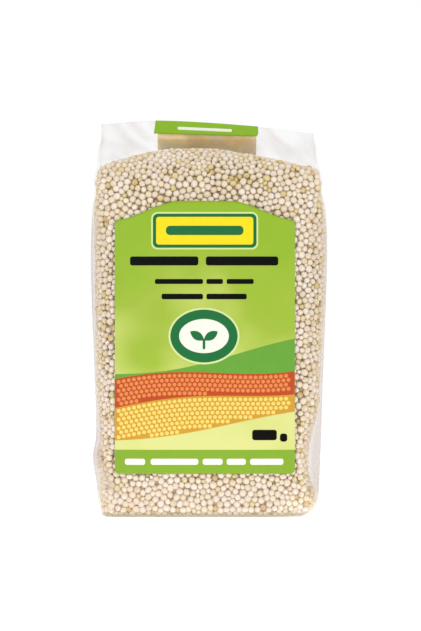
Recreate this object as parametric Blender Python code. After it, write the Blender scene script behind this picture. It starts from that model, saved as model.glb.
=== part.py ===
"""A clear film bag of white quinoa that stands on its flat base.

The bag is a side-gusset bag: a front and a back panel joined by two pleated sides. It is
filled with 250 g of grain, its roof is folded flat into a short fin, and a closing label
is stuck over the fin and down the back. A front label with an arched top covers most of
the front panel. Everything is in metres, +Z up, with the front facing -Y.
"""

import math
import random

import bmesh
import bpy
from mathutils import Vector

MM = 0.001

# Outline of the bag seen from the front: (height, distance from the middle) in mm
LEFT_EDGE = [(0, 37.8), (12, 39.1), (21, 40.4), (27, 39.4), (34, 39.3), (53, 40.1), (85, 41.4),
             (108, 40.8), (116, 39.1), (122, 38.4), (128, 37.9), (132.5, 36.9), (138, 36.9)]
RIGHT_EDGE = [(0, 38.4), (12, 38.9), (45, 40.1), (85, 41.8), (106, 41.2), (116, 38.9), (122, 37.9),
              (128, 37.4), (132.5, 36.3), (138, 36.3)]

# Outline seen from the side: (height, half of the depth) in mm; the roof closes into the fin
HALF_DEPTH = [(0, 17.4), (15, 19.3), (50, 20.4), (85, 20.0), (108, 18.7), (116, 17.4), (120, 15.6),
              (124, 12.4), (128, 7.6), (130.5, 3.6), (132.5, 0.9), (133, 0.9), (134, 0.9), (140, 0.9)]

# The folded top edge, which isn't level: (distance from the middle, height) in mm
TOP_FOLD = [(-38, 136.9), (-18.4, 138.2), (17.3, 136.1), (37, 133.7)]

# Cross-section: a superellipse, (height in mm, power); round at the belly, square at base and roof
SECTION_POWER = [(0, 6.5), (25, 5.0), (60, 4.2), (95, 4.4), (112, 8), (119, 20), (132, 40)]
CURVE_SAMPLES = 200

# The film's creased edges stand out a little, (height, ridge) in mm
EDGE_RIDGE = [(0, 0.4), (20, 0.8), (60, 0.4), (112, 0.3), (122, 0.0)]

# The roof starts where the panels lean in, is square in section above that, and ends at the fin
ROOF_START = 112 * MM
ROOF_SQUARE = 120 * MM
FIN_BASE = 132.5 * MM

# Side pleat: half of the gusset's width, and where its tuck starts to flatten towards the fin
GUSSET_HALF = 17.4 * MM
TUCK_FLATTENS_FROM = 119 * MM
CREASE_DEPTH = 0.5 * MM
CREASE_LOW = 20 * MM
CREASE_HIGH = 90 * MM

# Base: the fillet is small on the left and large on the right, as the bag slumps
BASE_FILLET_LEFT = 2.2 * MM
BASE_FILLET_RIGHT = 8.0 * MM
RIGHT_FILLET_FROM = 0.5
FILLET_STEPS = 4

# Points on the section, from a side's crease to an edge and from there to the panel's middle
SIDE_POINTS = 7
PANEL_POINTS = 15
BODY_ROW_STEP = 2.5 * MM
ROOF_ROWS_FROM = 118 * MM
ROOF_ROWS = 9
ROOF_ROW_BUNCHING = 1.6

# Grain pressed against the film: relief the size of one grain, up to the top of the heap
GRAIN_RELIEF = 0.85 * MM
HEAP_TOP = 128.8 * MM
HEAP_PEAK_X = -4.5 * MM
HEAP_FALL_LEFT = 0.0068
HEAP_FALL_RIGHT = 0.030
HEAP_POWER_LEFT = 2.0
HEAP_POWER_RIGHT = 1.5
RELIEF_FROM = 4 * MM
RELIEF_SEED = 11

# Lap seam down the back panel
SEAM_HALF_WIDTH = 4.6 * MM
SEAM_HEIGHT = 0.3 * MM
SEAM_FADE_FROM = 106 * MM
SEAM_FADE_TO = 116 * MM

# Labels
LABEL_GAP = 0.3 * MM
LABEL_THICK = 0.3 * MM
LABEL_MARGIN = 1.5 * MM
FRONT_LABEL_X = -1.25 * MM
FRONT_LABEL_HALF = 31.1 * MM
FRONT_LABEL_BASE = 15.4 * MM
FRONT_LABEL_SIDE_TOP = 103.1 * MM
FRONT_LABEL_ARCH = 6.6 * MM
ARCH_FLAT_TO = 0.27
ARCH_FALLS_TO = 1.02
FRONT_LABEL_CORNER = 1.4 * MM
CORNER_STEPS = [0.0, 0.08, 0.3, 0.62, 1.0]
TOP_CORNER_STEPS = [0.0, 0.1, 0.4]
FRONT_COLUMNS = 12
FRONT_ROWS = 17
CLOSING_LEFT = -18.5 * MM
CLOSING_RIGHT = 17.4 * MM
CLOSING_TAB_LEFT = 133.8 * MM
CLOSING_TAB_RIGHT = 132.8 * MM
CLOSING_BACK_END = 62 * MM
CLOSING_COLUMNS = 8
CLOSING_TAB_ROWS = 2
CLOSING_BEND_STEPS = 3
CLOSING_ROOF_ROWS = 15
CLOSING_BACK_ROWS = 10

FRONT = -1
BACK = 1


def smooth_through(stations, at):
    """Value at `at` on a smooth curve through (place, value) stations."""
    if at <= stations[0][0]:
        return stations[0][1]
    if at >= stations[-1][0]:
        return stations[-1][1]
    slopes = []
    for i in range(len(stations)):
        before = stations[max(i - 1, 0)]
        after = stations[min(i + 1, len(stations) - 1)]
        slopes.append((after[1] - before[1]) / (after[0] - before[0]))
    i = max(k for k in range(len(stations) - 1) if stations[k][0] <= at)
    (x0, y0), (x1, y1) = stations[i], stations[i + 1]
    width = x1 - x0
    t = (at - x0) / width
    return (
        (1 + 2 * t) * (1 - t) ** 2 * y0
        + t * (1 - t) ** 2 * width * slopes[i]
        + t * t * (3 - 2 * t) * y1
        + t * t * (t - 1) * width * slopes[i + 1]
    )


def ease(value, low, high):
    """0 below low, 1 above high, and smooth between them."""
    t = min(1.0, max(0.0, (value - low) / (high - low)))
    return t * t * (3 - 2 * t)


def middle_x(z):
    return (smooth_through(RIGHT_EDGE, z / MM) - smooth_through(LEFT_EDGE, z / MM)) / 2 * MM


def section_power(z):
    return smooth_through(SECTION_POWER, z / MM)


def corner_share(z):
    """Where the section's edge lies, as a share of its half width and of its half depth."""
    return 2 ** (-1 / section_power(z))


def roof_scale(z):
    """Widens the section in the roof, where its edges, not its sides, make the outline."""
    return corner_share(z) ** -ease(z, ROOF_START, ROOF_SQUARE)


def half_width(z):
    return (smooth_through(RIGHT_EDGE, z / MM) + smooth_through(LEFT_EDGE, z / MM)) / 2 * MM * roof_scale(z)


def half_depth(z):
    return smooth_through(HALF_DEPTH, z / MM) * MM * roof_scale(z)


def fold_height(x):
    """Height of the folded top edge at x."""
    return smooth_through(TOP_FOLD, x / MM) * MM


def heap_height(x):
    """Height that the grain reaches at x, highest a little left of the middle."""
    away = abs(x - HEAP_PEAK_X) / MM
    if x < HEAP_PEAK_X:
        return HEAP_TOP - HEAP_FALL_LEFT * away**HEAP_POWER_LEFT * MM
    return HEAP_TOP - HEAP_FALL_RIGHT * away**HEAP_POWER_RIGHT * MM


def quarter_points(z):
    """Section points at height z from a side's crease to a panel's middle, as (u, v) shares.

    They are spaced evenly up to the folded edge, which is always a point, and then evenly
    along the panel.
    """
    a, b, power = half_width(z), half_depth(z), section_power(z)
    side = []
    for k in range(CURVE_SAMPLES + 1):
        slope = math.tan(math.pi / 4 * k / CURVE_SAMPLES)
        u = (1 + slope**power) ** (-1 / power)
        side.append((u, slope * u))
    curve = side + [(v, u) for u, v in reversed(side[:-1])]
    lengths = [0.0]
    for (u0, v0), (u1, v1) in zip(curve, curve[1:]):
        lengths.append(lengths[-1] + math.hypot((u1 - u0) * a, (v1 - v0) * b))
    edge = lengths[CURVE_SAMPLES]
    wanted = [edge * k / SIDE_POINTS for k in range(SIDE_POINTS)]
    wanted += [edge + (lengths[-1] - edge) * k / PANEL_POINTS for k in range(PANEL_POINTS + 1)]
    found = []
    i = 0
    for want in wanted:
        while i < len(curve) - 2 and lengths[i + 1] < want:
            i += 1
        share = min(1.0, (want - lengths[i]) / (lengths[i + 1] - lengths[i]))
        found.append(tuple(p + (q - p) * share for p, q in zip(curve[i], curve[i + 1])))
    return found


def tuck_depth(z):
    """How far the pleat's crease has folded in as the roof closes; it crumples flat at the fin."""
    b = min(half_depth(z), GUSSET_HALF)
    folded = math.sqrt(GUSSET_HALF**2 - b * b)
    crease = CREASE_DEPTH * ease(z, CREASE_LOW, CREASE_HIGH)
    return max(folded, crease) * (1 - ease(z, TUCK_FLATTENS_FROM, FIN_BASE))


def section(z):
    """The bag's whole section at height z: a list of (point, outward direction, on an edge)."""
    a, b, power = half_width(z), half_depth(z), section_power(z)
    quarter = quarter_points(z)
    v_edge = corner_share(z)
    ring = []
    for turn, (sx, sy) in enumerate([(1, 1), (-1, 1), (-1, -1), (1, -1)]):
        order = range(len(quarter) - 1) if turn % 2 == 0 else range(len(quarter) - 1, 0, -1)
        for k in order:
            u, v = quarter[k]
            out = Vector((sx * u ** (power - 1) / a, sy * v ** (power - 1) / b, 0)).normalized()
            x, y = a * u, b * v
            if k < SIDE_POINTS:
                x -= tuck_depth(z) * max(0.0, 1 - v / v_edge)
            if k == SIDE_POINTS:
                ridge = smooth_through(EDGE_RIDGE, z / MM) * MM
                x, y = x + ridge * abs(out.x), y + ridge * abs(out.y)
            ring.append((Vector((middle_x(z) + sx * x, sy * y, z)), out, k == SIDE_POINTS))
    return ring


def panel_point(x, z, side, away):
    """Point on the front or back panel at x and z, moved out by `away` along its normal."""

    def surface(px, pz):
        u = min(0.999, abs(px - middle_x(pz)) / half_width(pz))
        power = section_power(pz)
        return Vector((px, side * half_depth(pz) * (1 - u**power) ** (1 / power), pz))

    step = 0.2 * MM
    here = surface(x, z)
    along = surface(x + step, z) - surface(x - step, z)
    up = surface(x, z + step) - surface(x, z - step)
    normal = along.cross(up).normalized()
    if normal.y * side < 0:
        normal = -normal
    return here + normal * away


def seam_height(z):
    """How far the lap seam stands out of the back panel; it lies flat in the roof."""
    return SEAM_HEIGHT * (1 - ease(z, SEAM_FADE_FROM, SEAM_FADE_TO))


def closing_lift(x, z):
    """How far the closing label is lifted where it bridges the seam."""
    return seam_height(z) * (1 - ease(abs(x), SEAM_HALF_WIDTH + 1 * MM, 2 * SEAM_HALF_WIDTH))


def front_label_top(x):
    """Height of the front label's arched top edge at x."""
    away = abs(x - FRONT_LABEL_X)
    share = 1 - ease(away / FRONT_LABEL_HALF, ARCH_FLAT_TO, ARCH_FALLS_TO)
    into_corner = max(0.0, FRONT_LABEL_CORNER - max(0.0, FRONT_LABEL_HALF - away))
    corner = FRONT_LABEL_CORNER - math.sqrt(FRONT_LABEL_CORNER**2 - into_corner**2)
    return FRONT_LABEL_SIDE_TOP + FRONT_LABEL_ARCH * share - corner


def under_label(point):
    """True where a label covers the bag, or next to the back seam."""
    x, y, z = point
    if y < 0:
        inside = abs(x - FRONT_LABEL_X) < FRONT_LABEL_HALF + LABEL_MARGIN
        return inside and FRONT_LABEL_BASE - LABEL_MARGIN < z < front_label_top(x) + LABEL_MARGIN
    if abs(x) < SEAM_HALF_WIDTH + 2 * LABEL_MARGIN:
        return True
    inside = CLOSING_LEFT - LABEL_MARGIN < x < CLOSING_RIGHT + LABEL_MARGIN
    return inside and z > CLOSING_BACK_END - LABEL_MARGIN


def clear_object(name, verts, faces, colour, roughness):
    """A smooth-shaded mesh object with its own material and its faces turned outwards."""
    mesh = bpy.data.meshes.new(name)
    mesh.from_pydata(verts, [], faces)
    bm = bmesh.new()
    bm.from_mesh(mesh)
    bmesh.ops.recalc_face_normals(bm, faces=bm.faces)
    bm.to_mesh(mesh)
    bm.free()
    mesh.shade_smooth()
    mesh.set_sharp_from_angle(angle=math.radians(40))
    material = bpy.data.materials.new(name)
    material.use_nodes = True
    shader = material.node_tree.nodes["Principled BSDF"]
    shader.inputs["Base Color"].default_value = (*colour, 1)
    shader.inputs["Roughness"].default_value = roughness
    shader.inputs["Metallic"].default_value = 0.0
    mesh.materials.append(material)
    obj = bpy.data.objects.new(name, mesh)
    bpy.context.scene.collection.objects.link(obj)
    return obj


def ring_heights():
    """Heights of the rings from the base fillet to the fin, closer where the roof bends."""
    body = ROOF_ROWS_FROM - BASE_FILLET_LEFT
    rows = round(body / BODY_ROW_STEP)
    heights = [BASE_FILLET_LEFT + body * k / rows for k in range(1, rows + 1)]
    roof = FIN_BASE - ROOF_ROWS_FROM
    shares = [1 - (1 - k / ROOF_ROWS) ** ROOF_ROW_BUNCHING for k in range(1, ROOF_ROWS + 1)]
    heights += [ROOF_ROWS_FROM + roof * share for share in shares]
    return heights


def base_ring(step):
    """One ring of the fillet round the flat base; step 0 lies on the ground."""
    turn = math.pi / 2 * step / FILLET_STEPS
    ring = []
    for point, out, on_edge in section(0.0):
        share = ease(point.x / half_width(0.0), RIGHT_FILLET_FROM, 1)
        radius = BASE_FILLET_LEFT + (BASE_FILLET_RIGHT - BASE_FILLET_LEFT) * share
        inset = radius * (1 - math.sin(turn))
        rise = radius * (1 - math.cos(turn))
        ring.append(Vector((point.x, point.y, rise)) - out * inset)
    return ring


def body_ring(low_ring, height, draw):
    """One ring at this height, with the grain's relief; low rings follow the fillet's top."""
    share = (height - BASE_FILLET_LEFT) / (ROOF_ROWS_FROM - BASE_FILLET_LEFT)
    ring = []
    for (point, out, on_edge), start in zip(section(height), low_ring):
        point.z = max(height, start.z + (ROOF_ROWS_FROM - start.z) * share)
        dent = draw.uniform(0, GRAIN_RELIEF)
        if point.y > 0 and abs(point.x) < SEAM_HALF_WIDTH:
            point += out * seam_height(point.z)
        elif RELIEF_FROM < point.z < heap_height(point.x) and not under_label(point) and not on_edge:
            point -= out * dent
        ring.append(point)
    return ring


def fin_ring(share):
    """One ring of the flat fin, whose top follows the folded edge."""
    ring = []
    for point, out, on_edge in section(FIN_BASE):
        point.z = FIN_BASE + (fold_height(point.x) - FIN_BASE) * share
        ring.append(point)
    return ring


def make_bag():
    """The filled bag as one closed solid: base, body with grain relief, roof and fin."""
    draw = random.Random(RELIEF_SEED)
    rings = [base_ring(step) for step in range(FILLET_STEPS + 1)]
    low = rings[-1]
    for height in ring_heights():
        rings.append(body_ring(low, height, draw))
    rings.append(fin_ring(0.5))
    rings.append(fin_ring(1.0))
    count = len(low)
    verts = [tuple(p) for ring in rings for p in ring]
    faces = [tuple(reversed(range(count)))]
    for r in range(len(rings) - 1):
        for i in range(count):
            j = (i + 1) % count
            faces.append((r * count + i, r * count + j, (r + 1) * count + j, (r + 1) * count + i))
    top = (len(rings) - 1) * count
    half = count // 2
    for i in range(half):
        near, far = top + i, top + (count - i) % count
        near_next, far_next = top + i + 1, top + count - i - 1
        corners = [near, near_next, far_next, far]
        faces.append(tuple(dict.fromkeys(corners)))
    return clear_object("bag", verts, faces, (0.80, 0.70, 0.52), 0.45)


def skin(name, inner, outer, colour, roughness):
    """A thin closed sheet from two equal grids of points, both faces split alike."""
    rows, columns = len(inner), len(inner[0])
    verts = [tuple(p) for grid in (inner, outer) for row in grid for p in row]

    def at(grid, r, c):
        return grid * rows * columns + r * columns + c

    faces = []
    for r in range(rows - 1):
        for c in range(columns - 1):
            for grid in (0, 1):
                a, b = at(grid, r, c), at(grid, r, c + 1)
                d, e = at(grid, r + 1, c + 1), at(grid, r + 1, c)
                faces += [(a, b, d), (a, d, e)]
    rim = [(0, c) for c in range(columns)]
    rim += [(r, columns - 1) for r in range(1, rows)]
    rim += [(rows - 1, c) for c in range(columns - 2, -1, -1)]
    rim += [(r, 0) for r in range(rows - 2, 0, -1)]
    for k, (r, c) in enumerate(rim):
        r2, c2 = rim[(k + 1) % len(rim)]
        a, b = at(0, r, c), at(0, r2, c2)
        d, e = at(1, r2, c2), at(1, r, c)
        faces += [(a, b, d), (a, d, e)]
    return clear_object(name, verts, faces, colour, roughness)


def make_front_label():
    """The front label: straight sides, rounded corners and an arched top."""
    r = FRONT_LABEL_CORNER
    low = FRONT_LABEL_BASE + r
    inner_share = 1 - r / FRONT_LABEL_HALF
    shares = [inner_share * (2 * c / FRONT_COLUMNS - 1) for c in range(FRONT_COLUMNS + 1)]
    at_corner = [1 - step * (1 - inner_share) for step in TOP_CORNER_STEPS]
    shares = [-share for share in at_corner] + shares + at_corner[::-1]
    rows = []
    for step in CORNER_STEPS:
        rise = step * r
        half = FRONT_LABEL_HALF - r + math.sqrt(r * r - (r - rise) ** 2)
        across = [FRONT_LABEL_X + half * share for share in shares]
        rows.append([(x, FRONT_LABEL_BASE + rise) for x in across])
    for row in range(1, FRONT_ROWS + 1):
        share = row / FRONT_ROWS
        rows.append([(x, low + (front_label_top(x) - low) * share) for x in across])
    inner = [[panel_point(x, z, FRONT, LABEL_GAP) for x, z in row] for row in rows]
    outer = [[panel_point(x, z, FRONT, LABEL_GAP + LABEL_THICK) for x, z in row] for row in rows]
    return skin("front_label", inner, outer, (0.42, 0.60, 0.10), 0.35)


def closing_path(x, away):
    """Points from the tab's lower edge, over the fin, and down the back panel at x."""
    share = (x - CLOSING_LEFT) / (CLOSING_RIGHT - CLOSING_LEFT)
    tab_end = CLOSING_TAB_LEFT + (CLOSING_TAB_RIGHT - CLOSING_TAB_LEFT) * share
    fold = fold_height(x)
    points = []
    for k in range(CLOSING_TAB_ROWS):
        z = tab_end + (fold - tab_end) * k / CLOSING_TAB_ROWS
        points.append(panel_point(x, z, FRONT, away))
    half = half_depth(fold)
    reach = half + away
    for k in range(CLOSING_BEND_STEPS + 1):
        turn = math.pi * k / CLOSING_BEND_STEPS
        points.append(Vector((x, -reach * math.cos(turn), fold + away * math.sin(turn))))
    for k in range(1, CLOSING_ROOF_ROWS + 1):
        z = fold + (ROOF_START - fold) * k / CLOSING_ROOF_ROWS
        points.append(panel_point(x, z, BACK, away + closing_lift(x, z)))
    for k in range(1, CLOSING_BACK_ROWS + 1):
        z = ROOF_START + (CLOSING_BACK_END - ROOF_START) * k / CLOSING_BACK_ROWS
        points.append(panel_point(x, z, BACK, away + closing_lift(x, z)))
    return points


def make_closing_label():
    """The label that closes the bag: a short tab in front, over the fin, long behind."""
    width = CLOSING_RIGHT - CLOSING_LEFT
    across = [CLOSING_LEFT + width * c / CLOSING_COLUMNS for c in range(CLOSING_COLUMNS + 1)]
    inner = [closing_path(x, LABEL_GAP) for x in across]
    outer = [closing_path(x, LABEL_GAP + LABEL_THICK) for x in across]
    return skin("closing_label", inner, outer, (0.27, 0.50, 0.03), 0.35)


def centre_on_origin(objects):
    """Moves every mesh so that the whole object's base centre is the origin."""
    points = [v.co for obj in objects for v in obj.data.vertices]
    shift = Vector(
        (
            -(min(p.x for p in points) + max(p.x for p in points)) / 2,
            -(min(p.y for p in points) + max(p.y for p in points)) / 2,
            -min(p.z for p in points),
        )
    )
    for obj in objects:
        for vertex in obj.data.vertices:
            vertex.co += shift


for old in list(bpy.data.objects):
    bpy.data.objects.remove(old)
centre_on_origin([make_bag(), make_front_label(), make_closing_label()])
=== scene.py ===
"""Looks of a clear film bag of white quinoa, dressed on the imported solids.

The sections follow the bag as it is made up: the film bag, the grain that fills it, the front
label with its print, the closing label over the fin, and then the studio round it. Sizes are
in millimetres, and the bag stands on the ground with +Z up and its front facing -Y.
"""

import math
from functools import cache
from itertools import product

import bmesh
import bpy
import numpy as np
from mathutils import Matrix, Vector, noise
from mathutils.bvhtree import BVHTree
from mathutils.kdtree import KDTree


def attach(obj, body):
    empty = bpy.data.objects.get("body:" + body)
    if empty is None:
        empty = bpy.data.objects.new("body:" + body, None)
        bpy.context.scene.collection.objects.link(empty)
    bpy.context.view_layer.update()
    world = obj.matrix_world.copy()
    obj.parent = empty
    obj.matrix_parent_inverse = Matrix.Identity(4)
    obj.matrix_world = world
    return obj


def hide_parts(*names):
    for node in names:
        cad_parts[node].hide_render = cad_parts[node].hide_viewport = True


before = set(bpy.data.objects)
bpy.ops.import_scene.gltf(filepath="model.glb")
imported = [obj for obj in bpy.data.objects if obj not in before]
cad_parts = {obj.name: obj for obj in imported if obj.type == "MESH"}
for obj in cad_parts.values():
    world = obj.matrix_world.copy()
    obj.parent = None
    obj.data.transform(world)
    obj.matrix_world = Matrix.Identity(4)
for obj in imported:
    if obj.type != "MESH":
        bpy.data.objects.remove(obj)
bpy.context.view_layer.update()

# The film bag. A tube of clear cast polypropylene, about 0.04 mm thick, with a pleat in each
# side and a lap seam welded down the back. The lower end is folded flat into a block bottom,
# and the upper end is pressed together and folded into a short fin.
MM = 0.001
LEFT_EDGE = [(0, 37.8), (12, 39.1), (21, 40.4), (27, 39.4), (34, 39.3), (53, 40.1), (85, 41.4),
             (108, 40.8), (116, 39.1), (122, 38.4), (128, 37.9), (132.5, 36.9), (138, 36.9)]
RIGHT_EDGE = [(0, 38.4), (12, 38.9), (45, 40.1), (85, 41.8), (106, 41.2), (116, 38.9), (122, 37.9),
              (128, 37.4), (132.5, 36.3), (138, 36.3)]
HALF_DEPTH = [(0, 17.4), (15, 19.3), (50, 20.4), (85, 20.0), (108, 18.7), (116, 17.4), (120, 15.6),
              (124, 12.4), (128, 7.6), (130.5, 3.6), (132.5, 0.9), (133, 0.9), (134, 0.9), (140, 0.9)]
TOP_FOLD = [(-38, 136.9), (-18.4, 138.2), (17.3, 136.1), (37, 133.7)]
SECTION_POWER = [(0, 6.5), (25, 5.0), (60, 4.2), (95, 4.4), (112, 8), (119, 20), (132, 40)]
EDGE_RIDGE = [(0, 0.4), (20, 0.8), (60, 0.4), (112, 0.3), (122, 0.0)]
ROOF_START = 112.0
ROOF_SQUARE = 120
FIN_BASE = 132.5
GUSSET_HALF = 17.4
TUCK_FLATTENS_FROM = 119
CREASE_DEPTH = 0.5
BASE_FILLET_LEFT = 2.2
BASE_FILLET_RIGHT = 7.5
RIGHT_FILLET_FROM = 0.5
CURVE_SAMPLES = 200
RIDGE_WIDTH = 1.1
SLACK_ENDS = (0.6, 1.6)
LEFT_LEAST_SLACK = 0.2
LEFT_SLACK = [(0.8, (6, 14), (28, 40)), (0.7, (60, 72), (98, 108))]
RIGHT_SLACK = [(3.9, (4, 17), (22, 42)), (0.6, (22, 42), (50, 80))]
SEAM_HALF_WIDTH = 4.6
SEAM_HEIGHT = 0.3
SEAM_FADES = (106, 116)
HEAP_TOP = 128.8
HEAP_PEAK_X = -4.5
HEAP_FALL_LEFT = (0.0068, 2.0)
HEAP_FALL_RIGHT = (0.030, 1.5)
FILM_POINTS = (22, 46)
FILM_ROW_STEP = 0.85
FILM_FIN_ROWS = 6
FILM_FILLET_STEPS = 6
DIMPLE_SIZES = (2.4, 2.4, 2.4)
DIMPLE_DEPTH = 0.16
ROOF_CREASE_SIZES = (6.5, 6.5, 20.0)
ROOF_CREASE_DEPTH = 0.75
ROOF_CREASE_SHARPNESS = 2.4
ROOF_CREASES_RISE = (104, 124)
ROOF_CREASES_FALL = (129, 133)
EMPTY_HAZE = 0.5
EMPTY_HAZE_FADE = 1.5
ROOF_HAZE = 0.19
ROOF_STREAKS = (5, 9, 30)
SIDE_VEIL = 0.05
SIDE_VEIL_WIDTH = 5.0
SIDE_VEIL_FADES = (100, 112)
BUNCH_TOP = (-39.0, 22.0)
BUNCH_FOOT = (-33.5, 10.0)
BUNCH_HALF_WIDTH = 1.6
BUNCH_HAZE = 0.3
EDGE_HAZE = ("edge_haze", 0.5, 98, 114)
SIDE_CLEARS = 0.65
LOW_VEIL = 0.14
LOW_VEIL_FADES = (8, 18)
FOLD_HAZE = 0.05
PLEAT_HAZE = 0.10
PLEAT_HAZE_WIDTH = 0.7
SEAM_HAZE = 0.06
SEAM_EDGE_HAZE = 0.12
SEAM_EDGE_WIDTH = 0.5
LEAST_HAZE = 0.015
MOST_HAZE = 0.8
# How strongly the film's foot is darkened, and between which heights: folded layers with painted shade at the
# table
BASE_FOLD_AND_SHADE = ("base_fold_and_shade", 0.75, 0.1, 2.0)
EDGE_WAVE_SIZES = (30, 30, 9)
EDGE_WAVE_FROM = 210
EDGE_WAVE_DEPTH = 0.4
FRONT = -1
BACK = 1


def smooth_through(stations, at):
    """Value at `at` on a smooth curve through (place, value) stations."""
    if at <= stations[0][0]:
        return stations[0][1]
    if at >= stations[-1][0]:
        return stations[-1][1]
    i = max(k for k in range(len(stations) - 1) if stations[k][0] <= at)
    (x0, y0), (x1, y1) = stations[i], stations[i + 1]
    slopes = []
    for k in (i, i + 1):
        before, after = stations[max(k - 1, 0)], stations[min(k + 1, len(stations) - 1)]
        slopes.append((after[1] - before[1]) / (after[0] - before[0]))
    t = (at - x0) / (x1 - x0)
    level = (1 + 2 * t) * (1 - t) ** 2 * y0 + t * t * (3 - 2 * t) * y1
    return level + (x1 - x0) * t * (1 - t) * ((1 - t) * slopes[0] - t * slopes[1])


def ease(value, low, high):
    """0 below low, 1 above high, and smooth between them."""
    t = min(1.0, max(0.0, (value - low) / (high - low)))
    return t * t * (3 - 2 * t)


@cache
def shape_at(z):
    """The section at height z: its middle, half width, half depth and power."""
    left, right = smooth_through(LEFT_EDGE, z), smooth_through(RIGHT_EDGE, z)
    power = smooth_through(SECTION_POWER, z)
    corner = 2 ** (-1 / power)
    scale = corner ** -ease(z, ROOF_START, ROOF_SQUARE)
    depth = smooth_through(HALF_DEPTH, z) * scale
    return (right - left) / 2, (right + left) / 2 * scale, depth, power


def fold_height(x):
    """Height of the folded top edge at x."""
    return smooth_through(TOP_FOLD, x)


def heap_height(x):
    """Height that the grain reaches at x, highest a little left of the middle."""
    fall, power = HEAP_FALL_LEFT if x < HEAP_PEAK_X else HEAP_FALL_RIGHT
    return HEAP_TOP - fall * abs(x - HEAP_PEAK_X) ** power


def tuck_depth(z):
    """How far the pleat's crease has folded in as the roof closes; it crumples flat at the fin."""
    b = min(shape_at(z)[2], GUSSET_HALF)
    folded = math.sqrt(GUSSET_HALF**2 - b * b)
    crease = CREASE_DEPTH * ease(z, 20, 90)
    return max(folded, crease) * (1 - ease(z, TUCK_FLATTENS_FROM, FIN_BASE))


def section(z, side_points, panel_points, side_slack=(0, 0), inset=0, tuck=None):
    """One ring round the bag at height z: its points, outward directions and edge shares.

    side_slack is how far what is inside stays off the left and right sides, inset how far it
    stays off the film everywhere, and tuck how far the pleat pushes in if not as the film does.
    """
    middle, a, b, power = shape_at(z)
    folded_in = tuck_depth(z) if tuck is None else tuck
    slope = np.tan(np.pi / 4 * np.linspace(0, 1, CURVE_SAMPLES + 1))
    u = (1 + slope**power) ** (-1 / power)
    v = slope * u
    u, v = np.concatenate([u, v[-2::-1]]), np.concatenate([v, u[-2::-1]])
    length = np.concatenate([[0], np.cumsum(np.hypot(np.diff(u) * a, np.diff(v) * b))])
    edge = length[CURVE_SAMPLES]
    wanted = np.concatenate([np.linspace(0, edge, side_points, endpoint=False),
                             np.linspace(edge, length[-1], panel_points + 1)])
    u, v = np.interp(wanted, length, u), np.interp(wanted, length, v)
    out_x, out_y = u ** (power - 1) / a, v ** (power - 1) / b
    size = np.hypot(out_x, out_y)
    out_x, out_y = out_x / size, out_y / size
    near_edge = np.exp(-((wanted - edge) / RIDGE_WIDTH) ** 2)
    x = a * u - folded_in * np.clip(1 - v / 2 ** (-1 / power), 0, 1)
    y = b * v
    ridge = smooth_through(EDGE_RIDGE, z) * near_edge
    x, y = x + (ridge - inset) * out_x, y + (ridge - inset) * out_y
    y = np.maximum(y, 0)
    to_panel = np.array([ease(w, edge * SLACK_ENDS[0], edge * SLACK_ENDS[1]) for w in wanted])
    rings = []
    for turn, (sx, sy) in enumerate([(1, 1), (-1, 1), (-1, -1), (1, -1)]):
        k = np.arange(len(u) - 1) if turn % 2 == 0 else np.arange(len(u) - 1, 0, -1)
        slack = side_slack[1 if sx > 0 else 0] * (1 - to_panel[k])
        rings.append(np.stack([middle + sx * (x[k] - slack), sy * y[k], np.full(len(k), float(z)),
                               sx * out_x[k], sy * out_y[k], near_edge[k]], axis=1))
    return np.concatenate(rings)


def panel_point(x, z, side, away):
    """Point on the front or back panel at x and z, moved out by `away` along its normal."""

    def surface(px, pz):
        middle, a, b, power = shape_at(pz)
        u = min(0.999, abs(px - middle) / a)
        return Vector((px, side * b * (1 - u**power) ** (1 / power), pz))

    step = 0.2
    here = surface(x, z)
    along = surface(x + step, z) - surface(x - step, z)
    up = surface(x, z + step) - surface(x, z - step)
    normal = along.cross(up).normalized()
    if normal.y * side < 0:
        normal = -normal
    return here + normal * away


def swell(z, size, rises, falls):
    """A size that comes and goes smoothly between two pairs of heights."""
    return size * ease(z, *rises) * (1 - ease(z, *falls))


def side_slack(z):
    """Empty film at the left and the right side, where the grain doesn't fill the fold."""
    left = sum((swell(z, *slack) for slack in LEFT_SLACK), LEFT_LEAST_SLACK)
    return left, sum(swell(z, *slack) for slack in RIGHT_SLACK)


def base_fillet(x):
    """Radius of the fold round the flat base: small on the left, large on the right."""
    share = ease(x / shape_at(0.0)[1], RIGHT_FILLET_FROM, 1)
    return BASE_FILLET_LEFT + (BASE_FILLET_RIGHT - BASE_FILLET_LEFT) * share


def seam_height(z):
    return SEAM_HEIGHT * (1 - ease(z, *SEAM_FADES))


def ripple(place, sizes):
    """A smooth number between -1 and 1 that comes and goes over these sizes in x, y and z."""
    return noise.noise(Vector([at / size for at, size in zip(place, sizes)]))


def film_offset(point):
    """How far the film lies inside its smooth form: grain dimples, roof creases, edge waves."""
    x, y, z, out_x, out_y, near_edge = (float(c) for c in point)
    filled = 1 - ease(z, heap_height(x) - 3, heap_height(x) + 2)
    dimple = DIMPLE_DEPTH * filled * (0.5 + 0.5 * ripple((x, y, z), DIMPLE_SIZES))
    ridged = (1 - min(1, ROOF_CREASE_SHARPNESS * abs(ripple((x, y, z), ROOF_CREASE_SIZES)))) ** 3
    crease = swell(z, ROOF_CREASE_DEPTH * ridged, ROOF_CREASES_RISE, ROOF_CREASES_FALL)
    wave = EDGE_WAVE_DEPTH * near_edge * (0.5 + 0.5 * ripple((x, y + EDGE_WAVE_FROM, z), EDGE_WAVE_SIZES))
    return dimple + crease + wave


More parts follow.
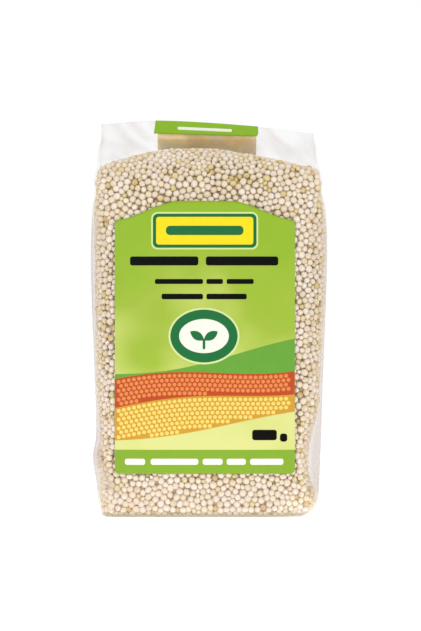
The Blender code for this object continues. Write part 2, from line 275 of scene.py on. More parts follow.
def hazy(point):
    """How milky the film is here: at folds and empty edges, in the roof and along the seam."""
    x, y, z, out_x, out_y, near_edge = (float(c) for c in point)
    middle, half, _, _ = shape_at(z)
    empty = side_slack(z)[1 if x > middle else 0]
    from_edge = half - abs(x - middle)
    slack = EMPTY_HAZE * (1 - ease(from_edge, 0.5 * empty - 0.5, empty + EMPTY_HAZE_FADE)) * min(1, empty)
    slack *= 1 - SIDE_CLEARS * out_x**4
    veil = SIDE_VEIL * (1 - ease(from_edge, 0, SIDE_VEIL_WIDTH)) * (1 - ease(z, *SIDE_VEIL_FADES))
    veil += LOW_VEIL * (1 - ease(z, *LOW_VEIL_FADES))
    bunched = 0.0
    if y < 0:
        top_x, top_z = BUNCH_TOP
        foot_x, foot_z = BUNCH_FOOT
        along = min(1.0, max(0.0, (top_z - z) / (top_z - foot_z)))
        ridge_x = top_x + (foot_x - top_x) * along
        beside = math.exp(-(((x - ridge_x) / BUNCH_HALF_WIDTH) ** 2))
        bunched = swell(z, BUNCH_HAZE * beside, (foot_z - 2, foot_z + 1), (top_z - 1, top_z + 3))
    fold = FOLD_HAZE * near_edge**2
    streak = 0.45 + 1.4 * ripple((x + z, y, z - x), ROOF_STREAKS)
    above_grain = ease(z, heap_height(x) - 1, heap_height(x) + 2)
    roof = ROOF_HAZE * above_grain * min(1.0, max(0.0, streak)) * abs(out_y)
    pleat = PLEAT_HAZE * math.exp(-((y / PLEAT_HAZE_WIDTH) ** 2)) * abs(out_x) ** 4
    seam = 0.0
    if y > 0:
        seam = SEAM_HAZE if abs(x) < SEAM_HALF_WIDTH else 0.0
        seam += SEAM_EDGE_HAZE * math.exp(-(((abs(x) - SEAM_HALF_WIDTH) / SEAM_EDGE_WIDTH) ** 2))
    under_roof = (pleat + seam) * (1 - ease(z, *SEAM_FADES))
    return min(MOST_HAZE, LEAST_HAZE + slack + veil + bunched + fold + roof + under_roof)


def film_rows():
    """Every ring of the film, from the flat base to the folded edge."""
    low = section(0.0, *FILM_POINTS)
    radius = np.array([base_fillet(x) for x in low[:, 0]])
    rows = []
    for step in range(FILM_FILLET_STEPS + 1):
        turn = math.pi / 2 * step / FILM_FILLET_STEPS
        row = low.copy()
        row[:, :2] -= low[:, 3:5] * (radius * (1 - math.sin(turn)))[:, None]
        row[:, 2] = radius * (1 - math.cos(turn))
        rows.append(row)
    start = rows[-1][:, 2]
    body = FIN_BASE - BASE_FILLET_LEFT
    count = round(body / FILM_ROW_STEP)
    for k in range(1, count + 1):
        height = BASE_FILLET_LEFT + body * k / count
        row = section(height, *FILM_POINTS)
        row[:, 2] = np.maximum(height, start + (FIN_BASE - start) * k / count)
        rows.append(row)
    for k in range(1, FILM_FIN_ROWS + 1):
        row = section(FIN_BASE, *FILM_POINTS)
        folds = np.array([fold_height(x) for x in row[:, 0]])
        row[:, 2] = FIN_BASE + (folds - FIN_BASE) * k / FILM_FIN_ROWS
        rows.append(row)
    return rows


def closed_rings(rings):
    """Faces of a closed form made of equal rings, with a flat base and a bridged top."""
    count = len(rings[0])
    faces = [tuple(reversed(range(count)))]
    for r in range(len(rings) - 1):
        for i in range(count):
            j = (i + 1) % count
            faces.append((r * count + i, r * count + j, (r + 1) * count + j, (r + 1) * count + i))
    top = (len(rings) - 1) * count
    for i in range(count // 2):
        corners = [top + i, top + i + 1, top + count - i - 1, top + (count - i) % count]
        faces.append(tuple(dict.fromkeys(corners)))
    return faces


def add_object(name, data):
    """A new object in the scene."""
    added = bpy.data.objects.new(name, data)
    bpy.context.scene.collection.objects.link(added)
    return added


def new_piece(name, points, faces, materials):
    """A mesh object from points in millimetres, riding on the bag's one body."""
    mesh = bpy.data.meshes.new(name)
    mesh.from_pydata(np.array(points, float) * MM, [], faces)
    for material in materials:
        mesh.materials.append(material)
    mesh.shade_smooth()
    piece = add_object(name, mesh)
    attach(piece, "root")
    return piece


def point_values(piece, name, values):
    """Stores one number for each point of the mesh, for its material to read."""
    layer = piece.data.attributes.new(name, "FLOAT", "POINT")
    layer.data.foreach_set("value", np.asarray(values, np.float32))


def linear(code):
    """A colour written as sRGB hex, as the linear colour that shaders take."""
    parts = [int(code[i : i + 2], 16) / 255 for i in (1, 3, 5)]
    return tuple(c / 12.92 if c <= 0.04045 else ((c + 0.055) / 1.055) ** 2.4 for c in parts) + (1.0,)


def node(tree, kind, settings=None, links=None):
    """Adds one node, sets its values and feeds its inputs from other nodes or their outputs.

    A node given as a source stands for its first output.
    """
    made = tree.nodes.new(kind)
    for name, value in (settings or {}).items():
        if isinstance(name, int) or name in made.inputs:
            made.inputs[name].default_value = value
        else:
            setattr(made, name, value)
    for name, source in (links or {}).items():
        if isinstance(source, bpy.types.Node):
            source = source.outputs[0]
        tree.links.new(source, made.inputs[name])
    return made


def new_material(name):
    """An empty node material, with its tree and the socket that its surface goes into."""
    material = bpy.data.materials.new(name)
    material.use_nodes = True
    tree = material.node_tree
    tree.nodes.clear()
    return material, tree, node(tree, "ShaderNodeOutputMaterial").inputs["Surface"]


# Clear cast polypropylene, calendered smooth: it is colourless, mirrors the white room softly on
# its outside, and turns milky where it is folded, lies empty or is seen edge-on. At the base a thin
# darker tan-grey line is partly its folded layers and partly painted shade where it meets the table
film_clear, tree, surface = new_material("clear_polypropylene_film")
haze = node(tree, "ShaderNodeAttribute", {"attribute_name": "haze"})
facing = node(tree, "ShaderNodeLayerWeight", {"Blend": 0.28})
edge_on = node(tree, "ShaderNodeMath", {"operation": "POWER", 1: 2.0}, {0: facing.outputs["Facing"]})
stretched = node(tree, "ShaderNodeAttribute", {"attribute_name": "edge_haze"})
edge_haze = node(tree, "ShaderNodeMath", {"operation": "MULTIPLY"},
                 {0: edge_on, 1: stretched.outputs["Fac"]})
milk = node(tree, "ShaderNodeMath", {"operation": "ADD", "use_clamp": True},
            {0: haze.outputs["Fac"], 1: edge_haze})
clear = node(tree, "ShaderNodeBsdfTransparent", {"Color": linear("#FDFDFD")})
scattered = node(tree, "ShaderNodeBsdfDiffuse", {"Color": linear("#CBBDB8")})
passed = node(tree, "ShaderNodeBsdfTranslucent", {"Color": linear("#CBBDB8")})
milky = node(tree, "ShaderNodeMixShader", {0: 0.5}, {1: scattered, 2: passed})
# Towards the base the film is mixed into a dark tan-grey diffuse: the folded layers there, and painted shade
# where the bag stands on the table
stacked_layers_and_shade = node(tree, "ShaderNodeAttribute", {"attribute_name": "base_fold_and_shade"})
base_layers_and_shade = node(tree, "ShaderNodeBsdfDiffuse", {"Color": linear("#8F8463")})
seen_through = node(tree, "ShaderNodeMixShader", None,
                    {0: milk, 1: clear, 2: milky})
body_mix = node(tree, "ShaderNodeMixShader", None,
                {0: stacked_layers_and_shade.outputs["Fac"], 1: seen_through, 2: base_layers_and_shade})
gloss = node(tree, "ShaderNodeBsdfGlossy", {"Color": linear("#FFFFFF"), "Roughness": 0.24})
fresnel = node(tree, "ShaderNodeFresnel", {"IOR": 1.45})
side_seen = node(tree, "ShaderNodeNewGeometry")
outside = node(tree, "ShaderNodeMath", {"operation": "SUBTRACT", 0: 1.0},
               {1: side_seen.outputs["Backfacing"]})
soft_edge = node(tree, "ShaderNodeMath", {"operation": "MINIMUM", 1: 0.2}, {0: fresnel})
mirrored = node(tree, "ShaderNodeMath", {"operation": "MULTIPLY"},
                {0: soft_edge, 1: outside})
film_mix = node(tree, "ShaderNodeMixShader", None,
                {0: mirrored, 1: body_mix, 2: gloss})
tree.links.new(film_mix.outputs[0], surface)

rows = film_rows()
film_points = []
for x, y, z, out_x, out_y, near_edge in np.concatenate(rows):
    lift = -film_offset((x, y, z, out_x, out_y, near_edge))
    if y > 0 and abs(x) < SEAM_HALF_WIDTH:
        lift += seam_height(z)
    on_the_ground = z <= 0.001
    in_the_fin = z > FIN_BASE + 0.1
    if on_the_ground or in_the_fin:
        lift = 0.0
    film_points.append((x + out_x * lift, y + out_y * lift, z))
film_bag = new_piece("film_bag", film_points, closed_rings(rows), [film_clear])
point_values(film_bag, "haze", [hazy(point) for point in np.concatenate(rows)])
for name, share, low, high in (EDGE_HAZE, BASE_FOLD_AND_SHADE):
    point_values(film_bag, name, [share * (1 - ease(point[2], low, high)) for point in film_points])
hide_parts("bag")

# The grain. White quinoa: flattened round seeds, most about 2.5 mm across and 0.8 as thick,
# with a paler middle inside the germ that rings the rim. They are washed and dried, then
# poured loose into the bag, where they jam against the film. About two layers of them show.
GRAIN_SEED = 5
HULL_POINTS = (10, 20)
HULL_ROW_STEP = 2.0
FOLD_LEVEL = 120.0
SLIVER = 0.01
FILM_CLEARANCE = 0.35
GRAIN_WIDTH = 2.48
GRAIN_SPREAD = 0.22
NARROWEST = 1.95
WIDEST = 2.95
SMALLEST = 1.45
SMALL_SHARE = 0.15
LYING_FLAT = (0.4, 0.95)
MOST_STRETCH = 0.09
THICKNESS = (0.9, 1.12)
DENTS = 0.018
IVORY_SHARE = 0.55
GOLDEN_FROM = 0.96
SMALL_ARE_DEEPER = 0.25
OUTER_COVER = 1.0
OUTER_PLAY = 0.6
INNER_COVER = 0.80
INNER_DEPTHS = (1.5, 2.6)
FOOTPRINT_SAMPLES = 4000
SEED_HALF_THICK = 0.40
SPREAD_TRIES = 10
SPREAD_APART = 1.56
CELLS_AROUND = list(product((-1, 0, 1), repeat=3))
SETTLE_PASSES = 45
FIND_AGAIN_EVERY = 3
NEIGHBOURS = 13
LEAST_DISTANCE = 0.05
TOUCHING = 0.97
PUSH_SHARE = 0.34
LONGEST_PUSH = 0.5
PRESS_OUT = 0.03
LABEL_HIDES = 4.0
FRONT_LABEL_X = -1.25
FRONT_LABEL_HALF = 31.1
FRONT_LABEL_BASE = 15.4
FRONT_LABEL_SIDE_TOP = 103.1
FRONT_LABEL_ARCH = 6.6
ARCH_FALLS = (0.27, 1.02)
LABEL_CORNER = 1.4


def front_label_top(x):
    """Height of the front label's arched top edge at x."""
    away = abs(x - FRONT_LABEL_X)
    share = 1 - ease(away / FRONT_LABEL_HALF, *ARCH_FALLS)
    into_corner = max(0.0, LABEL_CORNER - max(0.0, FRONT_LABEL_HALF - away))
    corner = LABEL_CORNER - math.sqrt(LABEL_CORNER**2 - into_corner**2)
    return FRONT_LABEL_SIDE_TOP + FRONT_LABEL_ARCH * share - corner


def face_area(corners):
    return np.linalg.norm(np.cross(corners, np.roll(corners, -1, axis=0)).sum(axis=0)) / 2


def fill_form(depth):
    """A closed form that lies `depth` inside the film, up to the top of the heap.

    Above FOLD_LEVEL it stays behind the pleats as they lie at that height.
    """
    middle, half, front, _ = shape_at(FOLD_LEVEL)
    fold = tuck_depth(FOLD_LEVEL)
    heights = [float(z) for z in np.arange(depth, HEAP_TOP - depth, HULL_ROW_STEP)] + [HEAP_TOP - depth]
    low = section(0.0, *HULL_POINTS)
    radius = np.array([base_fillet(x) for x in low[:, 0]])
    shoulder = section(ROOF_START, *HULL_POINTS)
    reach = np.array([heap_height(x) for x in shoulder[:, 0]]) + FILM_CLEARANCE - depth
    rings = []
    for z in heights:
        ring = section(z, *HULL_POINTS, side_slack(z), depth, min(tuck_depth(z), fold))
        if z > FOLD_LEVEL:
            behind = half - depth - fold * np.clip(1 - np.abs(ring[:, 1]) / front, 0, 1)
            ring[:, 0] = np.clip(ring[:, 0], middle - behind, middle + behind)
        below = np.clip(radius - z, 0, None)
        inset = radius - np.sqrt(np.clip(radius**2 - below**2, 0, None))
        ring[:, :2] -= ring[:, 3:5] * inset[:, None]
        ring[:, 2] = np.minimum(ring[:, 2], reach)
        rings.append(ring[:, :3])
    points = np.concatenate(rings)
    return points, [face for face in closed_rings(rings) if face_area(points[list(face)]) > SLIVER]


def hidden_by_front_label(points):
    x, y, z = points.T
    inside = np.abs(x - FRONT_LABEL_X) < FRONT_LABEL_HALF - LABEL_HIDES
    tops = np.array([front_label_top(at) for at in x])
    inside &= (z > FRONT_LABEL_BASE + LABEL_HIDES) & (z < tops - LABEL_HIDES)
    return inside & (y < 0)


def spread(points, faces, cover, footprint, rng):
    """Places for grains over a surface: random, but none crowding another.

    cover is the share of the surface that their footprints would take up side by side.
    """
    corners = [(f[0], f[i], f[i + 1]) for f in faces for i in range(1, len(f) - 1)]
    a, b, c = (points[[t[k] for t in corners]] for k in range(3))
    area = np.linalg.norm(np.cross(b - a, c - a), axis=1) / 2
    wanted = int(area.sum() * cover / footprint)
    pick = rng.choice(len(area), wanted * SPREAD_TRIES, p=area / area.sum())
    r1, r2 = np.sqrt(rng.random(len(pick))), rng.random(len(pick))
    w = np.stack([1 - r1, r1 * (1 - r2), r1 * r2], axis=1)
    tries = w[:, :1] * a[pick] + w[:, 1:2] * b[pick] + w[:, 2:] * c[pick]
    apart = SPREAD_APART / math.sqrt(cover)
    taken = {}
    kept = []
    for place, cell in zip(tries.tolist(), np.floor(tries / apart).astype(int).tolist()):
        near = [other for step in CELLS_AROUND
                for other in taken.get((cell[0] + step[0], cell[1] + step[1], cell[2] + step[2]), ())]
        if all(math.dist(place, other) >= apart for other in near):
            taken.setdefault(tuple(cell), []).append(place)
            kept.append(place)
        if len(kept) == wanted:
            break
    kept = np.array(kept)
    return kept[~hidden_by_front_label(kept)]


def seat(hull, centres, shallow, deep):
    """Keeps each grain's centre between its two depths under the hull, and gives its normal."""
    normals = np.empty_like(centres)
    for i, centre in enumerate(centres):
        place, normal, _, _ = hull.find_nearest(Vector(centre))
        depth = (place - Vector(centre)).dot(normal)
        centres[i] = place - normal * min(max(depth, shallow[i]), deep[i])
        normals[i] = normal
    return centres, normals


def settle(hull, centres, radii, shallow, deep):
    """Pushes overlapping grains apart while they press out against the film."""
    for turn in range(SETTLE_PASSES):
        if turn % FIND_AGAIN_EVERY == 0:
            finder = KDTree(len(centres))
            for i, centre in enumerate(centres):
                finder.insert(centre, i)
            finder.balance()
            near = np.array([[hit[1] for hit in finder.find_n(c, NEIGHBOURS)][1:] for c in centres])
        gap = centres[:, None, :] - centres[near]
        distance = np.maximum(np.linalg.norm(gap, axis=2), LEAST_DISTANCE)
        overlap = np.clip((radii[:, None] + radii[near]) * TOUCHING - distance, 0, None)
        push = (gap / distance[:, :, None] * overlap[:, :, None] * PUSH_SHARE).sum(axis=1)
        length = np.maximum(np.linalg.norm(push, axis=1), 1e-9)
        push *= np.minimum(1, LONGEST_PUSH / length)[:, None]
        centres, normals = seat(hull, centres + push, shallow, deep)
        centres = centres + normals * PRESS_OUT
    return seat(hull, centres, shallow, deep)


def draw_widths(count, rng):
    """Widths of grains, most near the usual one and some small, and which are the small ones."""
    widths = np.clip(rng.normal(GRAIN_WIDTH, GRAIN_SPREAD, count), NARROWEST, WIDEST)
    small = rng.random(count) < SMALL_SHARE
    widths[small] = rng.uniform(SMALLEST, NARROWEST, small.sum())
    return widths, small


def grain_shape(profile, segments):
    """A turned seed one unit across: its points, faces, and how near each point is to the rim."""
    points, rim = [(0, 0, profile[0][1])], [0.0]
    for radius, height, share in profile[1:]:
        for k in range(segments):
            turn = 2 * math.pi * k / segments
            points.append((radius * math.cos(turn), radius * math.sin(turn), height))
            rim.append(share)
    points.append((0, 0, -profile[0][1]))
    rim.append(0.0)
    rings = len(profile) - 1
    last = len(points) - 1
    faces = []
    for k in range(segments):
        n = (k + 1) % segments
        faces.append((0, 1 + k, 1 + n))
        for r in range(rings - 1):
            a, b = 1 + r * segments, 1 + (r + 1) * segments
            faces += [(a + k, b + k, b + n), (a + k, b + n, a + n)]
        c = 1 + (rings - 1) * segments
        faces.append((c + k, last, c + n))
    return np.array(points), np.array(faces), np.array(rim)


def unit(vectors):
    return vectors / np.maximum(np.linalg.norm(vectors, axis=1), 1e-9)[:, None]


def grain_piece(name, shape, chosen, centres, normals, sizes, rng, material):
    """One mesh of all the grains chosen, each turned, stretched and toned by chance."""
    points, faces, rim = shape
    count = len(chosen)
    spin = unit(rng.normal(size=(count, 3)))
    flat = rng.uniform(*LYING_FLAT, count)[:, None]
    axis = unit(normals[chosen] * flat + spin * (1 - flat))
    side = unit(np.cross(axis, unit(rng.normal(size=(count, 3)))))
    other = np.cross(axis, side)
    stretch = rng.uniform(0.0, MOST_STRETCH, count)
    thick = rng.uniform(*THICKNESS, count)
    d = sizes[chosen]
    scale = np.stack([d * (1 + stretch), d * (1 - stretch), d * thick], axis=1)
    local = points[None, :, :] * scale[:, None, :]
    bumps = 1 + rng.normal(0, DENTS, local.shape[:2])
    local = local * bumps[:, :, None]
    world = (local[:, :, :1] * side[:, None, :] + local[:, :, 1:2] * other[:, None, :]
             + local[:, :, 2:] * axis[:, None, :] + centres[chosen][:, None, :])
    corners = faces + np.arange(count)[:, None, None] * len(points)
    piece = new_piece(name, world.reshape(-1, 3), corners.reshape(-1, 3).tolist(), [material])
    point_values(piece, "rim", np.tile(rim, count))
    point_values(piece, "tone", np.repeat(rng.random(count), len(points)))


def grain_material(name, pale, deep, rim_germ_and_shade):
    """Washed and dried quinoa: a matt starchy skin, paler or deeper from grain to grain."""
    material, tree, surface = new_material(name)
    tone = node(tree, "ShaderNodeAttribute", {"attribute_name": "tone"})
    rim = node(tree, "ShaderNodeAttribute", {"attribute_name": "rim"})
    coords = node(tree, "ShaderNodeTexCoord")
    blotch = node(tree, "ShaderNodeTexNoise", {"Scale": 700.0, "Detail": 3.0},
                  {"Vector": coords.outputs["Object"]})
    skin = node(tree, "ShaderNodeMix", {"data_type": "RGBA", "A": linear(pale), "B": linear(deep)},
                {"Factor": tone.outputs["Fac"]})
    # The rim is mixed towards a darker, browner colour: partly the germ's ring and partly painted shade where
    # each grain meets its neighbours
    germ_and_edge_shade = node(tree, "ShaderNodeMath", {"operation": "MULTIPLY", 1: 0.35}, {0: rim.outputs["Fac"]})
    ring_and_edge_shaded = node(tree, "ShaderNodeMix", {"data_type": "RGBA", "B": linear(rim_germ_and_shade)},
                  {"Factor": germ_and_edge_shade, "A": skin.outputs["Result"]})
    speck = node(tree, "ShaderNodeMapRange",
                 {"From Min": 0.35, "From Max": 0.75, "To Min": 0.0, "To Max": 0.3},
                 {"Value": blotch.outputs["Fac"]})
    mottled = node(tree, "ShaderNodeMix", {"data_type": "RGBA", "B": linear(deep)},
                   {"Factor": speck, "A": ring_and_edge_shaded.outputs["Result"]})
    bump = node(tree, "ShaderNodeBump", {"Strength": 0.25, "Distance": 0.00008},
                {"Height": blotch.outputs["Fac"]})
    shader = node(tree, "ShaderNodeBsdfPrincipled",
                  {"Roughness": 0.6, "Specular IOR Level": 0.3, "Subsurface Weight": 0.6,
                   "Subsurface Radius": (1.0, 0.85, 0.6), "Subsurface Scale": 0.001},
                  {"Base Color": mottled.outputs["Result"], "Normal": bump.outputs["Normal"]})
    tree.links.new(shader.outputs[0], surface)
    return material


# The seed's profile from its middle to its rim: radius, height, and share of the darker rim, which is partly
# germ and partly painted shade
OUTER_PROFILE = [(0, 0.41), (0.26, 0.365, 0.0), (0.43, 0.23, 0.5), (0.5, 0.0, 1.0), (0.43, -0.23, 0.5),
                 (0.26, -0.365, 0.0)]
INNER_PROFILE = [(0, 0.39), (0.36, 0.27, 0.3), (0.5, 0.0, 1.0), (0.36, -0.27, 0.3)]
outer_shape = grain_shape(OUTER_PROFILE, 8)
inner_shape = grain_shape(INNER_PROFILE, 6)

rng = np.random.default_rng(GRAIN_SEED)
hull_points, hull_faces = fill_form(FILM_CLEARANCE)
hull = BVHTree.FromPolygons([Vector(p) for p in hull_points], hull_faces)
footprint = math.pi / 4 * (draw_widths(FOOTPRINT_SAMPLES, rng)[0] ** 2).mean()
outer_places = spread(hull_points, hull_faces, OUTER_COVER, footprint, rng)
inner_places = spread(hull_points, hull_faces, INNER_COVER, footprint, rng)
centres = np.concatenate([outer_places, inner_places])
outer = np.arange(len(centres)) < len(outer_places)
widths, small = draw_widths(len(centres), rng)
shallow = np.where(outer, SEED_HALF_THICK * widths, INNER_DEPTHS[0])
deep = np.where(outer, shallow + OUTER_PLAY, INNER_DEPTHS[1])
_, normals = seat(hull, centres.copy(), shallow, deep)
centres = centres - normals * rng.uniform(shallow, deep)[:, None]
centres, normals = settle(hull, centres, widths / 2, shallow, deep)

# The third colour of each kind is its rim: the germ, darkened further as painted shade between the grains
ivory = grain_material("washed_quinoa_ivory", "#DCD0C2", "#D5C6B3", "#BEA374")
cream = grain_material("washed_quinoa_cream", "#D9CBB5", "#D1BFA2", "#B89A66")
golden = grain_material("unhulled_quinoa_golden", "#D2C191", "#C4B074", "#A99553")
# The grains deeper in the fill take darker, browner colours than the outer ones: painted shade
inner_painted_shade = grain_material("quinoa_inner_painted_shade", "#CFB680", "#BC9E62", "#A28344")
kind = rng.random(len(centres)) + np.where(small, SMALL_ARE_DEEPER, 0.0)
left_half = centres[:, 0] < 0
kinds = [("ivory_grains", ivory, 0.0, IVORY_SHARE), ("cream_grains", cream, IVORY_SHARE, GOLDEN_FROM),
         ("golden_grains", golden, GOLDEN_FROM, 1 + SMALL_ARE_DEEPER)]
for name, material, low, high in kinds:
    of_kind = outer & (kind >= low) & (kind < high)
    for half, chosen in (("left", of_kind & left_half), ("right", of_kind & ~left_half)):
        grain_piece(f"{name}_{half}", outer_shape, np.flatnonzero(chosen), centres, normals, widths, rng,
                    material)
grain_piece("inner_grains", inner_shape, np.flatnonzero(~outer), centres, normals, widths, rng, inner_painted_shade)

# The heart of the fill. Below the grains that show, the rest of the poured quinoa is one mass
# in the shade, so it is one rough form just under them.
CORE_DEPTH = 2.8
shade, tree, surface = new_material("quinoa_in_shade")
coords = node(tree, "ShaderNodeTexCoord")
clumps = node(tree, "ShaderNodeTexVoronoi", {"Scale": 450.0}, {"Vector": coords.outputs["Object"]})
# Its colours are painted shade: darker and browner than the grains, and darker again towards the edges of
# grain-sized cells
painted_shade_tone = node(tree, "ShaderNodeMix",
                  {"data_type": "RGBA", "A": linear("#C8AC74"), "B": linear("#A0824A")},
                  {"Factor": clumps.outputs["Distance"]})
shader = node(tree, "ShaderNodeBsdfPrincipled", {"Roughness": 0.8},
              {"Base Color": painted_shade_tone.outputs["Result"]})
tree.links.new(shader.outputs[0], surface)
new_piece("grain_core", *fill_form(CORE_DEPTH), [shade])

# The front label. Self-adhesive film, about 0.06 mm thick, printed in greens from lime at the
# top to pale yellow below, with a darker band at its foot. It is die-cut with an arched top
# and pressed on the front panel.
LABEL_LIFT = 0.10
LABEL_THICK = 0.10
BAND_TOP = 23.7
LABEL_WAVES = [(0.10, 14, 3), (0.03, 3, 9)]
LABEL_COLUMNS = 60
BAND_ROWS = 7
LABEL_ROWS = 88


def sheet_faces(rows, columns):
    """Faces of a thin closed sheet whose two sides are equal grids of points."""

    def at(side, r, c):
        return side * rows * columns + r * columns + c

    faces = []
    for side in (0, 1):
        for r in range(rows - 1):
            for c in range(columns - 1):
                quad = (at(side, r, c), at(side, r, c + 1), at(side, r + 1, c + 1), at(side, r + 1, c))
                faces.append(quad if side else tuple(reversed(quad)))
    rim = [(0, c) for c in range(columns)]
    rim += [(r, columns - 1) for r in range(1, rows)]
    rim += [(rows - 1, c) for c in range(columns - 2, -1, -1)]
    rim += [(r, 0) for r in range(rows - 2, 0, -1)]
    for (r, c), (r2, c2) in zip(rim, rim[1:] + rim[:1]):
        faces.append((at(0, r, c), at(0, r2, c2), at(1, r2, c2), at(1, r, c)))
    return faces


def label_wave(x, z):
    """The label's slight unevenness over the grain behind it."""
    return sum(height * ripple((x, row, z), (size, 1, size)) for height, size, row in LABEL_WAVES)


def label_point(x, z, away):
    return panel_point(x, z, FRONT, away + label_wave(x, z))


def label_rows():
    """The front label's grid in flat coordinates: rounded corners and an arched top."""
    low = FRONT_LABEL_BASE + LABEL_CORNER
    inner_share = 1 - LABEL_CORNER / FRONT_LABEL_HALF
    shares = [inner_share * (2 * k / LABEL_COLUMNS - 1) for k in range(LABEL_COLUMNS + 1)]
    at_corner = [1 - (1 - inner_share) * (1 - math.cos(math.pi / 12 * k)) for k in range(6)]
    shares = np.array([-share for share in at_corner] + shares + at_corner[::-1])
    lines = []
    for k in range(7):
        rise = LABEL_CORNER * (1 - math.cos(math.pi / 2 * k / 6))
        half = FRONT_LABEL_HALF - LABEL_CORNER + math.sqrt(LABEL_CORNER**2 - (LABEL_CORNER - rise) ** 2)
        across = FRONT_LABEL_X + half * shares
        lines.append([(x, FRONT_LABEL_BASE + rise) for x in across])
    for k in range(1, BAND_ROWS + 1):
        lines.append([(x, low + (BAND_TOP - low) * k / BAND_ROWS) for x in across])
    above = LABEL_ROWS - BAND_ROWS
    for k in range(1, above + 1):
        lines.append([(x, BAND_TOP + (front_label_top(x) - BAND_TOP) * k / above) for x in across])
    return lines


# Matt-laminated label film: flat, even ink with a soft sheen and cloudy lime-to-yellow fading
label_print, tree, surface = new_material("printed_label_film_lime")
coords = node(tree, "ShaderNodeTexCoord")
axes = node(tree, "ShaderNodeSeparateXYZ", None, {0: coords.outputs["Object"]})
climb = node(tree, "ShaderNodeMapRange", {"From Min": 0.020, "From Max": 0.108}, {"Value": axes.outputs["Z"]})
clouds = node(tree, "ShaderNodeTexNoise", {"Scale": 34.0, "Detail": 2.0, "Roughness": 0.45},
              {"Vector": coords.outputs["Object"]})
cloud_shift = node(tree, "ShaderNodeMapRange",
                   {"From Min": 0.3, "From Max": 0.7, "To Min": -0.32, "To Max": 0.32},
                   {"Value": clouds.outputs["Fac"]})
place = node(tree, "ShaderNodeMath", {"operation": "ADD", "use_clamp": True},
             {0: climb, 1: cloud_shift})
fade = node(tree, "ShaderNodeValToRGB", None, {"Fac": place})
ramp = fade.color_ramp.elements
ramp[0].color = linear("#C2C47B")
ramp[1].color = linear("#83A426")
for share, code in ((0.2, "#BABF70"), (0.42, "#A3B44E"), (0.62, "#8FA735"), (0.8, "#89A72C")):
    ramp.new(share).color = linear(code)
grain_press = node(tree, "ShaderNodeTexNoise", {"Scale": 400.0, "Detail": 1.0},
                   {"Vector": coords.outputs["Object"]})
bump = node(tree, "ShaderNodeBump", {"Strength": 0.12, "Distance": 0.0003},
            {"Height": grain_press.outputs["Fac"]})
shader = node(tree, "ShaderNodeBsdfPrincipled", {"Roughness": 0.42, "Specular IOR Level": 0.15},
              {"Base Color": fade.outputs["Color"], "Normal": bump.outputs["Normal"]})
tree.links.new(shader.outputs[0], surface)


def ink(name, code, sheen=0.12):
    """Flexographic ink on label film: opaque and even, with faint unevenness in its depth."""
    material, tree, surface = new_material(name)
    coords = node(tree, "ShaderNodeTexCoord")
    mottle = node(tree, "ShaderNodeTexNoise", {"Scale": 300.0, "Detail": 2.0},
                  {"Vector": coords.outputs["Object"]})
    depth = node(tree, "ShaderNodeMapRange", {"To Min": 0.94, "To Max": 1.04},
                 {"Value": mottle.outputs["Fac"]})
    toned = node(tree, "ShaderNodeVectorMath", {"operation": "SCALE", 0: linear(code)[:3]},
                 {"Scale": depth})
    shader = node(tree, "ShaderNodeBsdfPrincipled", {"Roughness": 0.42, "Specular IOR Level": sheen},
                  {"Base Color": toned})
    tree.links.new(shader.outputs[0], surface)
    return material


band_ink = ink("label_ink_leaf_green", "#75972A")
lines = label_rows()
inner = [label_point(x, z, LABEL_LIFT) for line in lines for x, z in line]
outer_side = [label_point(x, z, LABEL_LIFT + LABEL_THICK) for line in lines for x, z in line]
front_label = new_piece("front_label_sheet", inner + outer_side, sheet_faces(len(lines), len(lines[0])),
                        [label_print, band_ink])
for face in front_label.data.polygons:
    face.material_index = 1 if face.center.z < BAND_TOP * MM else 0
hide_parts("front_label")

# The print on the front label. Flat shapes of ink, each a skin on the label: a yellow panel at
# the top, bars where words would be, a round green seal with a sprout, and rolling fields with
# rows of round seeds above the band.
INK_LIFT = LABEL_LIFT + LABEL_THICK + 0.03
INK_CELL = 1.0
PANEL_LEFT = -19.2
PANEL_RIGHT = 16.6
PANEL_FOOT = 93.5
PANEL_TOP = 105.3
SEAL_X = -1.55
SEAL_Z = 63.0
SEAL_HALF_X = 11.6
SEAL_HALF_Z = 9.1


def bar(x0, x1, z0, z1, radius):
    """Outline of a bar with rounded corners."""
    radius = min(radius, (x1 - x0) / 2, (z1 - z0) / 2)
    outline = []
    for cx, cz, first in ((x1 - radius, z1 - radius, 0), (x0 + radius, z1 - radius, 90),
                          (x0 + radius, z0 + radius, 180), (x1 - radius, z0 + radius, 270)):
        for k in range(7):
            turn = math.radians(first + 15 * k)
            outline.append((cx + radius * math.cos(turn), cz + radius * math.sin(turn)))
    return outline


def bars(spans, z0, z1, radius):
    """A row of bars, one for each pair of ends."""
    return [bar(x0, x1, z0, z1, radius) for x0, x1 in spans]


def panel(inset, radius):
    """Outline of the yellow panel, or of a panel that lies `inset` inside it."""
    return bar(PANEL_LEFT + inset, PANEL_RIGHT - inset, PANEL_FOOT + inset, PANEL_TOP - inset, radius)


def disc(cx, cz, rx, rz, sides=28):
    turns = [2 * math.pi * k / sides for k in range(sides)]
    return [(cx + rx * math.cos(t), cz + rz * math.sin(t)) for t in turns]


def leaf(x, z, length, width, degrees):
    """Outline of a pointed leaf that grows from (x, z)."""
    along = Vector((math.cos(math.radians(degrees)), math.sin(math.radians(degrees))))
    across = Vector((-along.y, along.x))
    shares = [k / 12 for k in range(13)]
    upper = [(s, width / 2 * math.sin(math.pi * s) ** 0.8) for s in shares]
    lower = [(s, -w) for s, w in reversed(upper[1:-1])]
    return [tuple(Vector((x, z)) + along * (s * length) + across * w) for s, w in upper + lower]


